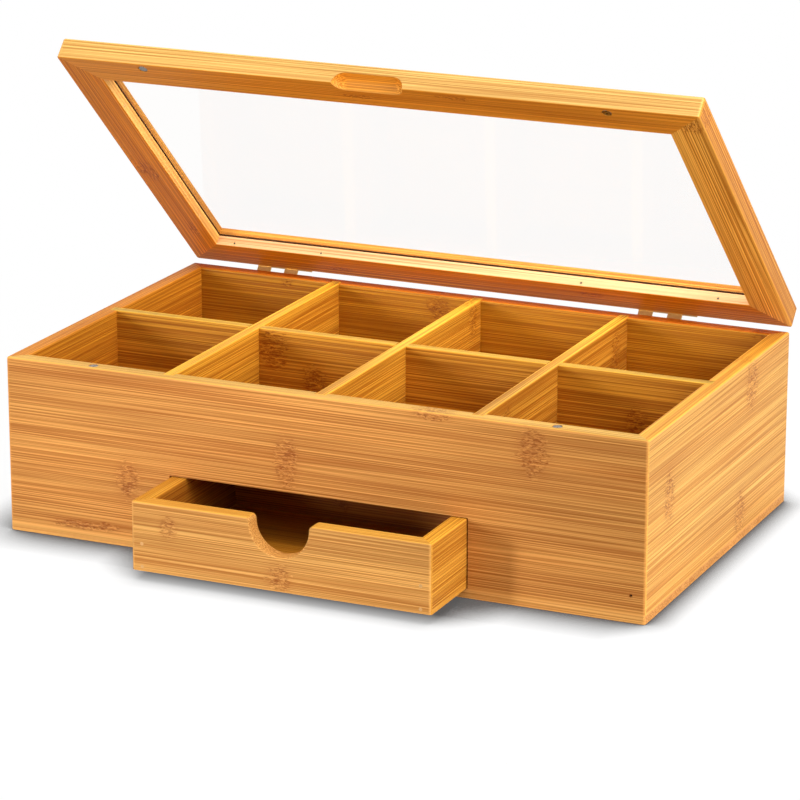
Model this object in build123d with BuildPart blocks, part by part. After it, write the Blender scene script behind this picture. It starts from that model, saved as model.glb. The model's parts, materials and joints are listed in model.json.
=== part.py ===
from build123d import *
from math import radians, tan
import os

# Bamboo tea box: a case of eight compartments, a hinged lid with a clear window, and a drawer
# under the compartments. Millimetres, +Z up. The origin is the centre of the underside, the
# front faces -Y, and +X is to the right seen from the front. The pieces are written at rest:
# the lid stands part way open and the drawer is pulled out a little.

# ---- Driving dimensions -----------------------------------------------------------------

# Case
case_width = 350.0
case_depth = 210.0
case_height = 93.0            # underside of the base to the rim of the walls
wall_thickness = 9.0
base_thickness = 5.0
corner_round = 1.5            # upright corners of the case, lid and drawer
edge_round = 1.0              # sanded long edges of the rims and rails
fine_round = 0.6              # thin edges: dividers, beads and undersides
fit_clearance = 0.05          # round the pins, screws, brads and magnets in their holes

# Compartment tray
floor_thickness = 3.5
floor_above_opening = 2.3     # wood left between the drawer opening and the floor's groove
floor_groove_depth = 4.0
divider_thickness = 6.0
divider_housing_depth = 4.0   # how far a divider's end is let into a wall
cross_divider_count = 3
lap_clearance = 0.1           # each side of a divider in a crossing slot

# Drawer and its bay
opening_width = 164.0
opening_height = 36.7
drawer_length = 106.0         # front to back: half as deep as the case
drawer_side_gap = 0.7
drawer_top_gap = 0.5
drawer_under_gap = 0.3
drawer_back_gap = 1.0         # to the stop when the drawer is shut
drawer_wall_thickness = 9.0
drawer_bottom_thickness = 3.0
drawer_bottom_rise = 3.0      # underside of the drawer to its bottom panel
drawer_groove_depth = 4.0
drawer_pulled_out = 42.5      # how far the drawer stands out at rest
guide_thickness = 8.0
stop_thickness = 8.0
notch_width = 32.0            # finger notch in the drawer front
notch_shoulder_round = 2.4

# Lid
lid_thickness = 11.5
lid_rest_gap = 0.6            # between the rim and the shut lid, kept by the hinges
lid_open_angle = 43.0         # how far the lid stands open at rest
rail_width = 19.5
lip_thickness = 4.6           # wood over the edge of the window
rabbet_width = 6.0
window_thickness = 1.2
window_clearance = 0.5        # round the edge of the window
scoop_radius = 6.4            # finger scoop in the lower front edge
scoop_straight = 26.0

# Magnets in the rim and the lid
magnet_radius = 2.5
magnet_thickness = 2.0
magnet_from_side = 48.5

# Hinges
hinge_left_from_side = 54.5   # left side of the case to the middle of the left hinge
hinge_right_from_side = 69.5
hinge_length = 33.0
hinge_knuckles = 4
knuckle_gap = 0.2
barrel_radius = 2.4
barrel_stand_off = 0.5        # between the back of the case and the barrel
tab_gap = 0.3                 # between the back of the case and the tabs round the pin
pin_below_rim = 3.5
pin_radius = 1.2
pin_end_round = 0.4
leaf_width = 8.5
leaf_thickness = 1.0
leaf_corner_round = 1.0

# Hinge screws
screw_spacing = 17.0
screw_length = 7.0
screw_shank_radius = 0.9
screw_head_radius = 1.8
screw_head_angle = 90.0
screw_slot_width = 0.5
screw_slot_depth = 0.4

# Brads
brad_radius = 0.6
brad_head_radius = 0.9
brad_head_thickness = 0.5
bead_brad_length = 13.0
bead_brad_rise = 2.0                      # above the underside of the lid
long_bead_brads_from_left = (30.0, 83.0)
long_bead_brads_from_right = (37.0, 114.0)
short_bead_brad_from_end = 48.0
drawer_brad_length = 18.0
drawer_brad_from_side = 5.7
drawer_brad_heights = (2.2, 14.2)         # above the underside of the drawer
corner_brad_length = 22.0
corner_brad_from_side = 7.8
corner_brad_height = 14.0                 # above the underside of the case

# ---- Sizes and places that follow -------------------------------------------------------

SIDES = ("front", "back", "left", "right")
BELOW = (Align.CENTER, Align.CENTER, Align.MAX)

left_side = -case_width / 2
right_side = case_width / 2
front_side = -case_depth / 2
back_side = case_depth / 2
inside_width = case_width - 2 * wall_thickness
inside_depth = case_depth - 2 * wall_thickness
wall_height = case_height - base_thickness

opening_top = base_thickness + opening_height
floor_underside = opening_top + floor_above_opening
floor_top = floor_underside + floor_thickness
divider_height = case_height - floor_top
long_divider_length = inside_width + 2 * divider_housing_depth
cross_divider_length = inside_depth + 2 * divider_housing_depth
compartment_width = (inside_width - cross_divider_count * divider_thickness) / (cross_divider_count + 1)
cross_divider_pitch = compartment_width + divider_thickness
lap_width = divider_thickness + 2 * lap_clearance

drawer_width = opening_width - 2 * drawer_side_gap
drawer_height = opening_height - drawer_under_gap - drawer_top_gap
drawer_underside = base_thickness + drawer_under_gap
drawer_top = drawer_underside + drawer_height
drawer_front_side = front_side - drawer_pulled_out
drawer_middle = drawer_front_side + drawer_length / 2
bay_height = floor_underside - base_thickness
stop_front = front_side + drawer_length + drawer_back_gap
notch_radius = notch_width / 2

lid_underside = case_height + lid_rest_gap
rabbet_depth = lid_thickness - lip_thickness
bead_thickness = rabbet_depth - window_thickness
rabbet_inset = rail_width - rabbet_width
pane_space_width = case_width - 2 * rabbet_inset
pane_space_depth = case_depth - 2 * rabbet_inset
sight_width = case_width - 2 * rail_width
sight_depth = case_depth - 2 * rail_width

magnet_x = case_width / 2 - magnet_from_side
magnet_y = front_side + wall_thickness / 2

barrel_inner = back_side + barrel_stand_off
pin_y = barrel_inner + barrel_radius
pin_level = case_height - pin_below_rim
hinge_axis = Axis((0, pin_y, pin_level), (-1, 0, 0))
leaf_reach = lid_underside - pin_level    # from the pin to the near edge of either leaf
knuckle_pitch = hinge_length / hinge_knuckles
screw_head_depth = (screw_head_radius - screw_shank_radius) / tan(radians(screw_head_angle / 2))
hinge_places = {
    "left": left_side + hinge_left_from_side,
    "right": right_side - hinge_right_from_side,
}


# ---- Shared shapes ----------------------------------------------------------------------

def board_corners(side, frame_width, frame_depth, board_width):
    """Plan of one side of a mitred frame: long edge outside, both ends cut at 45 degrees."""
    outer_x = frame_width / 2
    outer_y = frame_depth / 2
    inner_x = outer_x - board_width
    inner_y = outer_y - board_width
    if side in ("front", "back"):
        toward = -1 if side == "front" else 1
        return [(-outer_x, toward * outer_y), (outer_x, toward * outer_y),
                (inner_x, toward * inner_y), (-inner_x, toward * inner_y)]
    toward = -1 if side == "left" else 1
    return [(toward * outer_x, -outer_y), (toward * outer_x, outer_y),
            (toward * inner_x, inner_y), (toward * inner_x, -inner_y)]


def mitred_board(frame, side, middle, frame_width, frame_depth, board_width, height):
    """One board of a frame, parted from its neighbours at the mitres."""
    with BuildPart() as board:
        add(frame.part)
        with BuildSketch(Plane(middle)):
            with BuildLine():
                Polyline(*board_corners(side, frame_width, frame_depth, board_width), close=True)
            make_face()
        extrude(amount=height, mode=Mode.INTERSECT)
    return board


def seat(x, y, z, outward):
    """Where a fastener is driven in: its head faces outward."""
    return Location(Plane(origin=(x, y, z), z_dir=outward))


def drill_for_brads(seats, length):
    """Holes for brads in the piece that is being built."""
    with Locations(*seats):
        CounterBoreHole(brad_radius + fit_clearance, brad_head_radius + fit_clearance,
                        brad_head_thickness, length + fit_clearance)


def brads(seats, length):
    """A group of like brads, heads flush with the wood."""
    with BuildPart() as group:
        with Locations(*seats):
            Cylinder(brad_radius, length, align=BELOW)
            Cylinder(brad_head_radius, brad_head_thickness, align=BELOW)
    return group


def hinge_screw_seats(level):
    """Two screws in each leaf, at one level, in both hinges."""
    return [
        seat(hinge_x + offset, back_side + leaf_thickness, level, (0, 1, 0))
        for hinge_x in hinge_places.values()
        for offset in (-screw_spacing / 2, screw_spacing / 2)
    ]


def drill_for_screws(seats):
    """Pilot holes for the hinge screws in the piece that is being built."""
    with Locations(*seats):
        Hole(screw_shank_radius + fit_clearance, screw_length + fit_clearance)


def screws(seats):
    """A group of countersunk screws with slotted heads."""
    with BuildPart() as group:
        with Locations(*seats):
            Cylinder(screw_shank_radius, screw_length, align=BELOW)
            Cone(screw_shank_radius, screw_head_radius, screw_head_depth, align=BELOW)
            Box(2 * screw_head_radius, screw_slot_width, screw_slot_depth, align=BELOW,
                mode=Mode.SUBTRACT)
    return group


def hinge_leaf(hinge_x, up, first_knuckle):
    """Half a hinge, shut. Up is 1 for the lid's leaf, above the pin, and -1 for the case's."""
    near_edge = pin_level + up * leaf_reach
    middle_level = near_edge + up * leaf_width / 2
    hinge_start = hinge_x - hinge_length / 2
    back_face = Plane.XZ.offset(-back_side)
    with BuildPart() as leaf:
        with BuildSketch(back_face):
            with Locations((hinge_x, middle_level)):
                Rectangle(hinge_length, leaf_width)
        extrude(amount=-leaf_thickness)
        far_corners = leaf.edges().filter_by(Axis.Y).sort_by(Axis.Z)
        fillet(far_corners[-2:] if up > 0 else far_corners[:2], leaf_corner_round)
        for knuckle in range(first_knuckle, hinge_knuckles, 2):
            knuckle_start = hinge_start + knuckle * knuckle_pitch + knuckle_gap / 2
            with BuildSketch(Plane.YZ.offset(knuckle_start)):
                with BuildLine():
                    Polyline(
                        (back_side + tab_gap, near_edge),
                        (back_side + leaf_thickness, near_edge),
                        (barrel_inner + leaf_thickness, pin_level),
                        (barrel_inner, pin_level),
                        close=True,
                    )
                make_face()
                with Locations((pin_y, pin_level)):
                    Circle(barrel_radius)
                    Circle(pin_radius + fit_clearance, mode=Mode.SUBTRACT)
            extrude(amount=knuckle_pitch - knuckle_gap)
        with Locations(*hinge_screw_seats(middle_level)):
            CounterSinkHole(screw_shank_radius + fit_clearance, screw_head_radius + fit_clearance,
                            screw_length, screw_head_angle)
    return leaf


def hinge_pin(hinge_x):
    """The pin that the knuckles of one hinge turn on."""
    with BuildPart() as pin:
        with BuildSketch(Plane.YZ.offset(hinge_x)):
            with Locations((pin_y, pin_level)):
                Circle(pin_radius)
        extrude(amount=hinge_length / 2, both=True)
        fillet(pin.edges().filter_by(GeomType.CIRCLE), pin_end_round)
    return pin


def magnets(seats):
    """A pair of disc magnets, faces flush with the wood."""
    with BuildPart() as pair:
        with Locations(*seats):
            Cylinder(magnet_radius, magnet_thickness, align=BELOW)
    return pair


def drill_for_magnets(seats):
    """Sockets for the magnets in the piece that is being built."""
    with Locations(*seats):
        Hole(magnet_radius + fit_clearance, magnet_thickness)


# ---- Case -------------------------------------------------------------------------------

case_leaf_level = pin_level - leaf_reach - leaf_width / 2
case_screw_seats = hinge_screw_seats(case_leaf_level)
case_magnet_seats = [seat(x, magnet_y, case_height, (0, 0, 1)) for x in (-magnet_x, magnet_x)]
corner_brad_seats = [
    seat(right_side - corner_brad_from_side, front_side, corner_brad_height, (0, -1, 0))
]

with BuildPart() as base_panel:
    with BuildSketch():
        RectangleRounded(case_width, case_depth, corner_round)
    extrude(amount=base_thickness)
    fillet(base_panel.faces().sort_by(Axis.Z)[0].edges(), fine_round)

with BuildPart() as case_frame:
    with BuildSketch(Plane.XY.offset(base_thickness)):
        RectangleRounded(case_width, case_depth, corner_round)
        Rectangle(inside_width, inside_depth, mode=Mode.SUBTRACT)
    extrude(amount=wall_height)
    fillet(case_frame.faces().sort_by(Axis.Z)[-1].edges(), edge_round)
    # Groove for the floor, and housings for the ends of the dividers
    with BuildSketch(Plane.XY.offset(floor_underside)):
        Rectangle(inside_width + 2 * floor_groove_depth, inside_depth + 2 * floor_groove_depth)
    extrude(amount=floor_thickness, mode=Mode.SUBTRACT)
    with BuildSketch(Plane.XY.offset(floor_top)):
        Rectangle(long_divider_length, divider_thickness)
        with GridLocations(cross_divider_pitch, 0, cross_divider_count, 1):
            Rectangle(divider_thickness, cross_divider_length)
    extrude(amount=divider_height, mode=Mode.SUBTRACT)
    # Opening for the drawer
    with BuildSketch(Plane.XZ.offset(-front_side)):
        with Locations((0, base_thickness)):
            Rectangle(opening_width, opening_height, align=(Align.CENTER, Align.MIN))
    extrude(amount=-wall_thickness, mode=Mode.SUBTRACT)
    drill_for_magnets(case_magnet_seats)
    drill_for_screws(case_screw_seats)
    drill_for_brads(corner_brad_seats, corner_brad_length)

case_pieces = {
    f"{side}_wall": mitred_board(case_frame, side, (0, 0, base_thickness),
                                 case_width, case_depth, wall_thickness, wall_height)
    for side in SIDES
}

with BuildPart() as compartment_floor:
    with BuildSketch(Plane.XY.offset(floor_underside)):
        Rectangle(inside_width + 2 * floor_groove_depth, inside_depth + 2 * floor_groove_depth)
    extrude(amount=floor_thickness)

with BuildPart() as long_divider:
    with BuildSketch(Plane.XY.offset(floor_top)):
        Rectangle(long_divider_length, divider_thickness)
    extrude(amount=divider_height)
    fillet(long_divider.faces().sort_by(Axis.Z)[-1].edges().filter_by(Axis.X), fine_round)
    # Slots from above, to half its height, for the cross dividers
    with BuildSketch(Plane.XY.offset(case_height)):
        with GridLocations(cross_divider_pitch, 0, cross_divider_count, 1):
            Rectangle(lap_width, divider_thickness)
    extrude(amount=-divider_height / 2, mode=Mode.SUBTRACT)


def cross_divider(divider_x):
    """A divider from front to back, slotted from below over the long divider."""
    with BuildPart() as divider:
        with BuildSketch(Plane.XY.offset(floor_top)):
            with Locations((divider_x, 0)):
                Rectangle(divider_thickness, cross_divider_length)
        extrude(amount=divider_height)
        fillet(divider.faces().sort_by(Axis.Z)[-1].edges().filter_by(Axis.Y), fine_round)
        with BuildSketch(Plane.XY.offset(floor_top)):
            with Locations((divider_x, 0)):
                Rectangle(divider_thickness, lap_width)
        extrude(amount=divider_height / 2, mode=Mode.SUBTRACT)
    return divider


def drawer_guide(inner_x, toward):
    """An upright board beside the drawer, from the base to the floor above."""
    with BuildPart() as guide:
        with BuildSketch(Plane.XY.offset(base_thickness)):
            with Locations((inner_x + toward * guide_thickness / 2, 0)):
                Rectangle(guide_thickness, inside_depth)
        extrude(amount=bay_height)
    return guide


# The drawer shuts against this board, which also carries the middle of the floor
with BuildPart() as drawer_stop:
    with BuildSketch(Plane((0, stop_front, base_thickness))):
        Rectangle(opening_width, stop_thickness, align=(Align.CENTER, Align.MIN))
    extrude(amount=bay_height)

case_pieces.update({
    "base_panel": base_panel,
    "compartment_floor": compartment_floor,
    "long_divider": long_divider,
    "drawer_guide_left": drawer_guide(-opening_width / 2, -1),
    "drawer_guide_right": drawer_guide(opening_width / 2, 1),
    "drawer_stop": drawer_stop,
    "case_magnets": magnets(case_magnet_seats),
    "case_hinge_screws": screws(case_screw_seats),
    "corner_brad": brads(corner_brad_seats, corner_brad_length),
})
for number in range(cross_divider_count):
    place = (number - (cross_divider_count - 1) / 2) * cross_divider_pitch
    case_pieces[f"cross_divider_{number + 1}"] = cross_divider(place)
for hand, hinge_x in hinge_places.items():
    case_pieces[f"case_hinge_leaf_{hand}"] = hinge_leaf(hinge_x, -1, 1)
    case_pieces[f"hinge_pin_{hand}"] = hinge_pin(hinge_x)

# ---- Lid, drawn shut --------------------------------------------------------------------

lid_leaf_level = lid_underside + leaf_width / 2
lid_magnet_seats = [seat(x, magnet_y, lid_underside, (0, 0, -1)) for x in (-magnet_x, magnet_x)]
lid_screw_seats = hinge_screw_seats(lid_leaf_level)
bead_brad_level = lid_underside + bead_brad_rise
long_bead_brad_places = [left_side + place for place in long_bead_brads_from_left]
long_bead_brad_places += [right_side - place for place in long_bead_brads_from_right]
short_bead_brad_places = [
    front_side + short_bead_brad_from_end,
    back_side - short_bead_brad_from_end,
]
bead_brad_seats = [
    seat(x, toward * sight_depth / 2, bead_brad_level, (0, -toward, 0))
    for toward in (-1, 1) for x in long_bead_brad_places
]
bead_brad_seats += [
    seat(toward * sight_width / 2, y, bead_brad_level, (-toward, 0, 0))
    for toward in (-1, 1) for y in short_bead_brad_places
]

with BuildPart() as lid_frame:
    with BuildSketch(Plane.XY.offset(lid_underside)):
        RectangleRounded(case_width, case_depth, corner_round)
        Rectangle(sight_width, sight_depth, mode=Mode.SUBTRACT)
    extrude(amount=lid_thickness)
    fillet(lid_frame.faces().sort_by(Axis.Z)[-1].edges(), edge_round)
    fillet(lid_frame.faces().sort_by(Axis.Z)[0].outer_wire().edges(), fine_round)
    # Rabbet for the window and its beads
    with BuildSketch(Plane.XY.offset(lid_underside)):
        Rectangle(pane_space_width, pane_space_depth)
    extrude(amount=rabbet_depth, mode=Mode.SUBTRACT)
    # Finger scoop: a round-ended cutter run along the lower front edge
    with BuildSketch(Plane((0, front_side, lid_underside))):
        with BuildLine():
            straight_left = (-scoop_straight / 2, scoop_radius)
            straight_right = (scoop_straight / 2, scoop_radius)
            end_left = (-scoop_straight / 2 - scoop_radius, 0)
            end_right = (scoop_straight / 2 + scoop_radius, 0)
            RadiusArc(end_left, straight_left, scoop_radius)
            Line(straight_left, straight_right)
            RadiusArc(straight_right, end_right, scoop_radius)
            Line(end_right, end_left)
        make_face()
    revolve(axis=Axis((0, front_side, lid_underside), (1, 0, 0)), mode=Mode.SUBTRACT)
    drill_for_magnets(lid_magnet_seats)
    drill_for_screws(lid_screw_seats)
    drill_for_brads(bead_brad_seats, bead_brad_length)

with BuildPart() as bead_frame:
    with BuildSketch(Plane.XY.offset(lid_underside)):
        Rectangle(pane_space_width, pane_space_depth)
        Rectangle(sight_width, sight_depth, mode=Mode.SUBTRACT)
    extrude(amount=bead_thickness)
    fillet(bead_frame.faces().sort_by(Axis.Z)[0].inner_wires()[0].edges(), fine_round)
    drill_for_brads(bead_brad_seats, bead_brad_length)

with BuildPart() as lid_window:
    with BuildSketch(Plane.XY.offset(lid_underside + bead_thickness)):
        Rectangle(pane_space_width - 2 * window_clearance, pane_space_depth - 2 * window_clearance)
    extrude(amount=window_thickness)

lid_pieces = {
    "lid_window": lid_window,
    "lid_magnets": magnets(lid_magnet_seats),
    "lid_hinge_screws": screws(lid_screw_seats),
    "bead_brads": brads(bead_brad_seats, bead_brad_length),
}
for side in SIDES:
    lid_pieces[f"lid_{side}_rail"] = mitred_board(
        lid_frame, side, (0, 0, lid_underside), case_width, case_depth, rail_width, lid_thickness)
    lid_pieces[f"window_bead_{side}"] = mitred_board(
        bead_frame, side, (0, 0, lid_underside), pane_space_width, pane_space_depth,
        rabbet_width, bead_thickness)
for hand, hinge_x in hinge_places.items():
    lid_pieces[f"lid_hinge_leaf_{hand}"] = hinge_leaf(hinge_x, 1, 0)

# ---- Drawer -----------------------------------------------------------------------------

drawer_inside_width = drawer_width - 2 * drawer_wall_thickness
drawer_inside_length = drawer_length - 2 * drawer_wall_thickness
drawer_bottom_level = drawer_underside + drawer_bottom_rise
drawer_brad_seats = [
    seat(toward * (drawer_width / 2 - drawer_brad_from_side), drawer_front_side,
         drawer_underside + height, (0, -1, 0))
    for toward in (-1, 1) for height in drawer_brad_heights
]

with BuildPart() as drawer_bottom:
    with BuildSketch(Plane((0, drawer_middle, drawer_bottom_level))):
        Rectangle(drawer_inside_width + 2 * drawer_groove_depth,
                  drawer_inside_length + 2 * drawer_groove_depth)
    extrude(amount=drawer_bottom_thickness)

with BuildPart() as drawer_frame:
    with BuildSketch(Plane((0, drawer_middle, drawer_underside))):
        RectangleRounded(drawer_width, drawer_length, corner_round)
        Rectangle(drawer_inside_width, drawer_inside_length, mode=Mode.SUBTRACT)
    extrude(amount=drawer_height)
    # Finger notch: a half circle whose shoulders roll over into the top edge
    with BuildSketch(Plane.XZ.offset(-drawer_front_side)):
        with BuildLine():
            shoulder_left = (-notch_radius - notch_shoulder_round, drawer_top)
            shoulder_right = (notch_radius + notch_shoulder_round, drawer_top)
            side_left = (-notch_radius, drawer_top - notch_shoulder_round)
            side_right = (notch_radius, drawer_top - notch_shoulder_round)
            RadiusArc(shoulder_left, side_left, notch_shoulder_round)
            RadiusArc(side_left, side_right, -notch_radius)
            RadiusArc(side_right, shoulder_right, notch_shoulder_round)
            Line(shoulder_right, shoulder_left)
        make_face()
    extrude(amount=-drawer_wall_thickness, mode=Mode.SUBTRACT)
    fillet(drawer_frame.faces().sort_by(Axis.Z)[-1].edges(), edge_round)
    # Groove for the bottom panel
    with BuildSketch(Plane((0, drawer_middle, drawer_bottom_level))):
        Rectangle(drawer_inside_width + 2 * drawer_groove_depth,
                  drawer_inside_length + 2 * drawer_groove_depth)
    extrude(amount=drawer_bottom_thickness, mode=Mode.SUBTRACT)
    drill_for_brads(drawer_brad_seats, drawer_brad_length)

drawer_pieces = {
    f"drawer_{side}": mitred_board(drawer_frame, side, (0, drawer_middle, drawer_underside),
                                   drawer_width, drawer_length, drawer_wall_thickness, drawer_height)
    for side in SIDES
}
drawer_pieces["drawer_bottom"] = drawer_bottom
drawer_pieces["drawer_brads"] = brads(drawer_brad_seats, drawer_brad_length)

# ---- Files ------------------------------------------------------------------------------

os.makedirs("parts", exist_ok=True)
for name, piece in (case_pieces | drawer_pieces).items():
    piece.part.label = name
    export_step(piece.part, f"parts/{name}.step")

for name, piece in lid_pieces.items():
    opened = piece.part.rotate(hinge_axis, lid_open_angle)
    opened.label = name
    export_step(opened, f"parts/{name}.step")
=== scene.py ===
import json
import math

import bmesh
import bpy
from mathutils import Matrix, Vector

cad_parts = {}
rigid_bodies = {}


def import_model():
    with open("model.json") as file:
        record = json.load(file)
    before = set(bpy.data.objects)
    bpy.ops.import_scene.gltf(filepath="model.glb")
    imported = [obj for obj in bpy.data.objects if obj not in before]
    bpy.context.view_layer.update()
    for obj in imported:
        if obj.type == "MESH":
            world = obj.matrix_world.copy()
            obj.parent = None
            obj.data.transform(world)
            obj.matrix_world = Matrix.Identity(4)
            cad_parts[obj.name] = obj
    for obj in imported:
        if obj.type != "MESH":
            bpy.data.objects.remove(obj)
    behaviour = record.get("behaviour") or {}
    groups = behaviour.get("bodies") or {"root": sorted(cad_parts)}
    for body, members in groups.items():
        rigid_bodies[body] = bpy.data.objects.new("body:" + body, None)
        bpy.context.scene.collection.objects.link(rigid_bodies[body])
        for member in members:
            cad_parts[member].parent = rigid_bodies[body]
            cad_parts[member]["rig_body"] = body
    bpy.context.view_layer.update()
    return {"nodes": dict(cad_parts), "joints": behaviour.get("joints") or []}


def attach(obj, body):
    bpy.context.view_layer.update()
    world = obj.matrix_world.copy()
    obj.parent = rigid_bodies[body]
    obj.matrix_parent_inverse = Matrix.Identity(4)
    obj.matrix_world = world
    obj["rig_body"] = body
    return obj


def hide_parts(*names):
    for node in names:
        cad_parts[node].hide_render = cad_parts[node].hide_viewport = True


bl_info = {
    "name": "Bamboo tea box",
    "version": (1, 0, 0),
    "blender": (4, 5, 0),
    "location": "3D View > Sidebar > Tea Box",
    "description": "Gives a bamboo tea box with a windowed lid and a drawer its woods, metals "
                   "and light",
    "category": "Object",
}

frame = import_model()
NODES = frame["nodes"]
JOINTS = {joint["name"]: joint for joint in frame["joints"]}
MM = 0.001
X, Y, Z = Vector((1, 0, 0)), Vector((0, 1, 0)), Vector((0, 0, 1))

# The lid is dressed as if it were shut: this takes a point of the lid at rest to the shut one
HINGE_PLACE = Vector(JOINTS["lid_hinge"]["pos_m"])
SHUT_ANGLE = math.radians(JOINTS["lid_hinge"]["range_deg"][0])
SHUT_TURN = Matrix.Rotation(SHUT_ANGLE, 4, Vector(JOINTS["lid_hinge"]["axis"]))
SHUT_LID = Matrix.Translation(HINGE_PLACE) @ SHUT_TURN @ Matrix.Translation(-HINGE_PLACE)


def linear(hex_colour):
    """An sRGB hex colour as linear red, green and blue."""
    channels = [int(hex_colour[i:i + 2], 16) / 255 for i in (1, 3, 5)]
    return [c / 12.92 if c <= 0.04045 else ((c + 0.055) / 1.055) ** 2.4 for c in channels]


# ---- Settings ---------------------------------------------------------------------------

def colour_setting(name, description, hex_colour):
    """A colour that a user can change."""
    return bpy.props.FloatVectorProperty(name=name, description=description, subtype="COLOR",
                                         default=linear(hex_colour))


def number_setting(name, description, default, **kind):
    """A number that a user can change. Kind is its unit or subtype."""
    return bpy.props.FloatProperty(name=name, description=description, default=default, **kind)


class BambooSettings(bpy.types.PropertyGroup):
    """Side-pressed bamboo strips, sanded and given a thin satin lacquer."""
    pale: colour_setting("Pale fibres", "Colour between the fibre bundles", "#E8AE5F")
    dark: colour_setting("Dark fibres", "Colour of the fibre bundles", "#BC7A38")
    line: colour_setting("Fibre lines", "Colour of the thin lines where a bundle is cut",
                         "#A2601E")
    knuckle: colour_setting("Knuckles", "Colour of the flecks where the stem had a knuckle",
                            "#8A4814")
    strip_width: number_setting("Strip width", "Width of one pressed strip", 22.5 * MM,
                                unit="LENGTH")
    fibre_width: number_setting("Fibre width", "Width of one bundle of fibres", 0.6 * MM,
                                unit="LENGTH")
    fibre_length: number_setting("Fibre length", "How far one bundle shows", 170 * MM,
                                 unit="LENGTH")
    roughness: number_setting("Roughness", "Of the satin lacquer", 0.46, subtype="FACTOR")


class HardwareSettings(bpy.types.PropertyGroup):
    """Hinges, screws, brads and magnets."""
    brass: colour_setting("Brass", "Stamped and rolled brass", "#E0BA76")
    steel: colour_setting("Steel", "Wire brads", "#5E574E")
    nickel: colour_setting("Nickel", "Plating of the magnets", "#8A847C")
    filler: colour_setting("Filler", "Wood filler over the brads", "#DDA868")


class WindowSettings(bpy.types.PropertyGroup):
    """The clear sheet in the lid."""
    tint: colour_setting("Tint", "What the sheet lets through", "#FEFDFC")
    ior: number_setting("Index of refraction",
                        "Under acrylic's own 1.49, because the sheet in sight hardly mirrors "
                        "the box", 1.1)


class StageSettings(bpy.types.PropertyGroup):
    """Camera, floor and light."""
    azimuth: number_setting("Azimuth", "Camera, turned from the front towards the right",
                            math.radians(24.18), subtype="ANGLE")
    elevation: number_setting("Elevation", "Camera, above level", math.radians(16.75),
                              subtype="ANGLE")
    roll: number_setting("Roll", "Camera, about its own axis", math.radians(0.05), subtype="ANGLE")
    distance: number_setting("Distance", "Camera to what it looks at", 1.945, unit="LENGTH")
    aim: bpy.props.FloatVectorProperty(
        name="Aim", description="What the camera looks at", subtype="TRANSLATION",
        default=(-0.0087, 0.0160, 0.0574))
    lens: number_setting("Lens", "Focal length on a 36 mm frame, in millimetres", 166.9)
    floor: colour_setting("Floor", "Pale studio floor", "#BDBAB6")
    sky: number_setting("Sky", "Strength of the even light from all round", 0.30)


# ---- Shared shapes and nodes ------------------------------------------------------------

def add(tree, kind, sockets=None, **settings):
    """Adds a node with its settings. Each socket gets a value, an output, a node's first output
    in use, or a list of those."""
    node = tree.nodes.new(kind)
    for name, value in settings.items():
        setattr(node, name, value)
    for name, values in (sockets or {}).items():
        for value in values if isinstance(values, list) else [values]:
            if isinstance(value, bpy.types.Node):
                value = next(output for output in value.outputs if output.enabled)
            if isinstance(value, bpy.types.NodeSocket):
                tree.links.new(value, node.inputs[name])
            else:
                node.inputs[name].default_value = value
    return node


def interface(tree, inputs, outputs):
    """Names a group's sockets, each with its kind, and returns what comes in."""
    for direction, sockets in (("INPUT", inputs), ("OUTPUT", outputs)):
        for name, kind in sockets.items():
            tree.interface.new_socket(name=name, in_out=direction, socket_type=f"NodeSocket{kind}")
    return tree.nodes.new("NodeGroupInput").outputs


def opaque(colour):
    """A linear colour with full alpha."""
    return (*colour, 1.0)


def new_material(name):
    """A node material without nodes, and its tree."""
    material = bpy.data.materials.new(name)
    material.use_nodes = True
    material.node_tree.nodes.clear()
    return material, material.node_tree


def dress(node_name, material):
    """Puts a material on a CAD node."""
    mesh = NODES[node_name].data
    mesh.materials.clear()
    mesh.materials.append(material)


def extent(points):
    """Lowest and highest corner of some points."""
    return [Vector([pick(p[i] for p in points) for i in range(3)]) for pick in (min, max)]


# ---- Bamboo -----------------------------------------------------------------------------

# How far the parts of the pattern reach along the grain and across it
STREAKS = (300 * MM, 6.0 * MM)
LINES = (140 * MM, 0.55 * MM)      # the real ones are 0.2 mm wide: drawn wider to show
CLOUDS = (150 * MM, 22 * MM)
FLECKS = (3.2 * MM, 0.9 * MM)
RAGGEDNESS = (260, 420, 420)       # bumps in a metre of a knuckle's outline
FIBRES_SHARE = 0.8                 # the fibres' part of the pattern, beside the streaks'

UNCHANGED = (1, 1, 1)              # a tint that leaves the colour as it is
RIM = (1.02, 0.97, 0.75)           # what a board's narrow faces keep of the colour
SLOT_TOP = 6.9 * MM                # above the lid's underside: what the sheet lies against
# Painted shade: the dark line in the slot beside the sheet's edge
SLOT_SHADE = opaque(linear("#4E2306"))
SATIN_SHINE = 0.15                 # far under a lacquer's 0.5: the wood in sight hardly shines
PUSH, PUSH_AT_KNUCKLE = 0.04 * MM, 2.2 * MM


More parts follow.
